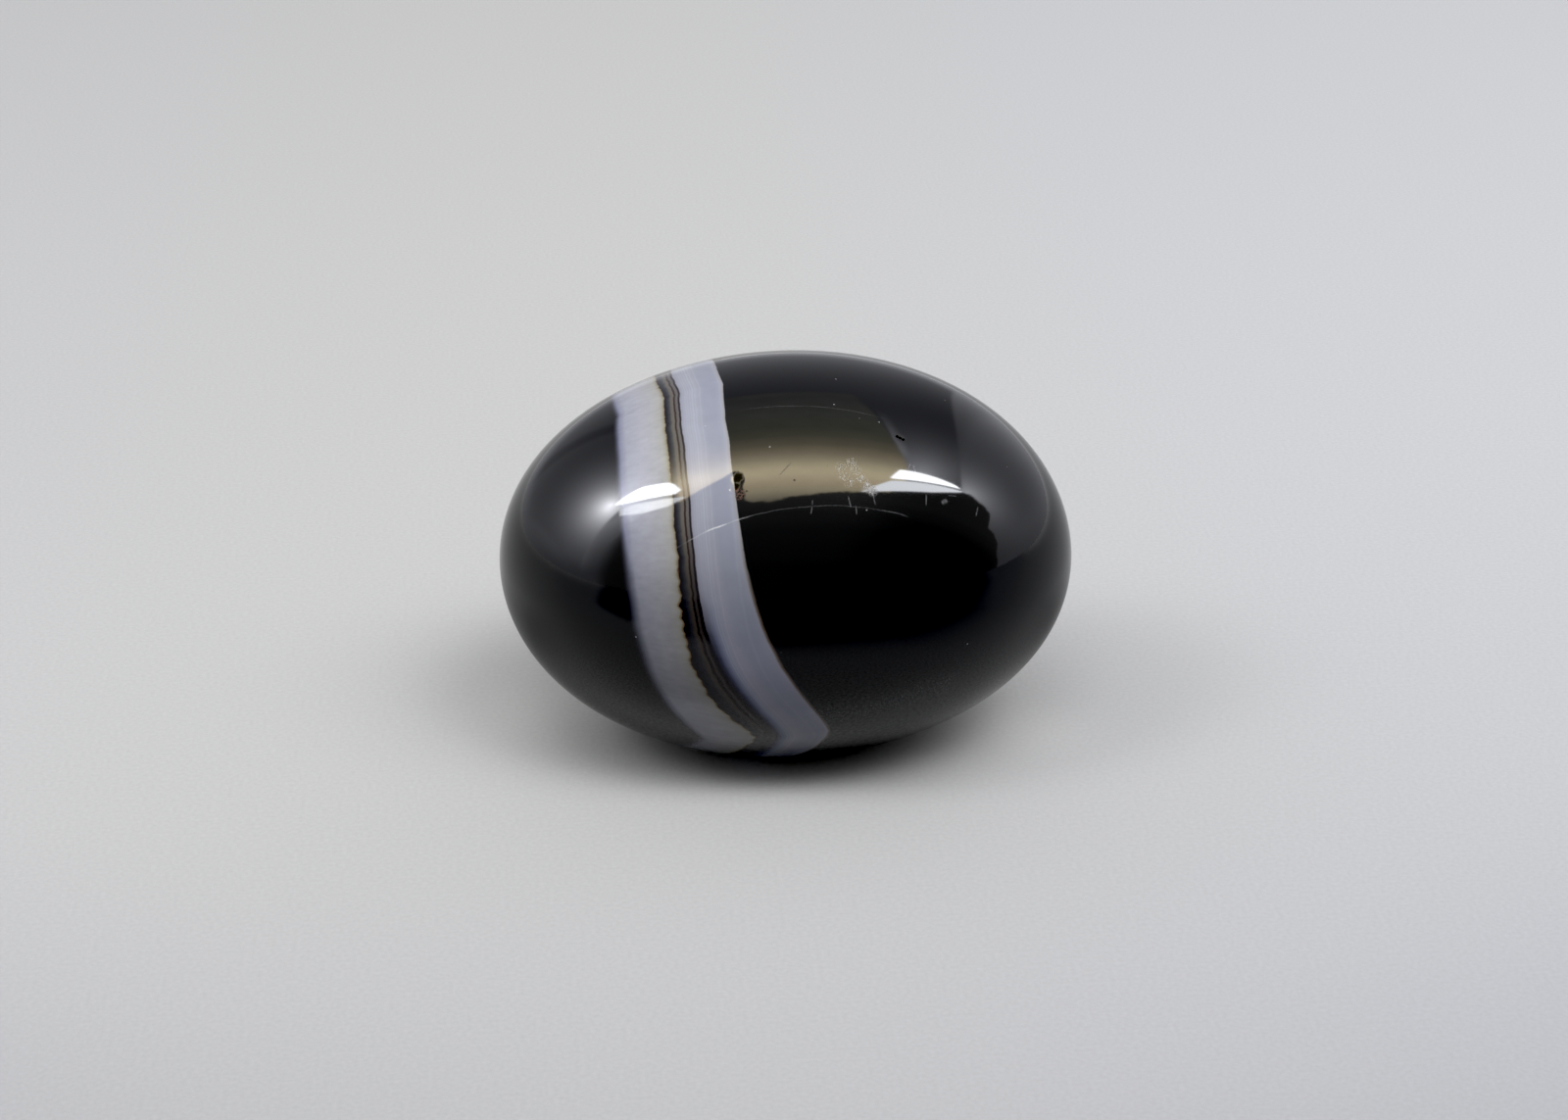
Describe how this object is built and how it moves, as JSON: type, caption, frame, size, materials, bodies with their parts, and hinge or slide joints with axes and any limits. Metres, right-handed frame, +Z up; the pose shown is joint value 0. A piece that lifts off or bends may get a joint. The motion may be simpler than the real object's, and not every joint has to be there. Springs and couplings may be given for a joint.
{
  "type": "sulemani agate",
  "caption": "Polished egg-shaped black agate, crossed by pale lavender-white bands with a brown layered seam, resting on a small flat spot.",
  "frame": {"origin": "in the plane of the flat resting spot, under the middle of the stone's outline", "axes": "+X along the stone, away from the end that the pale bands cross; +Z up from the flat spot; -Y is the side that faces the viewer"},
  "size_m": [0.0298, 0.0218, 0.0209],
  "materials": {
    "black_agate": "hand-polished gloss, black with pale lavender-white bands and a brown layered seam"
  },
  "bodies": {
    "root": {"agate_stone": "black_agate"}
  },
  "joints": []
}
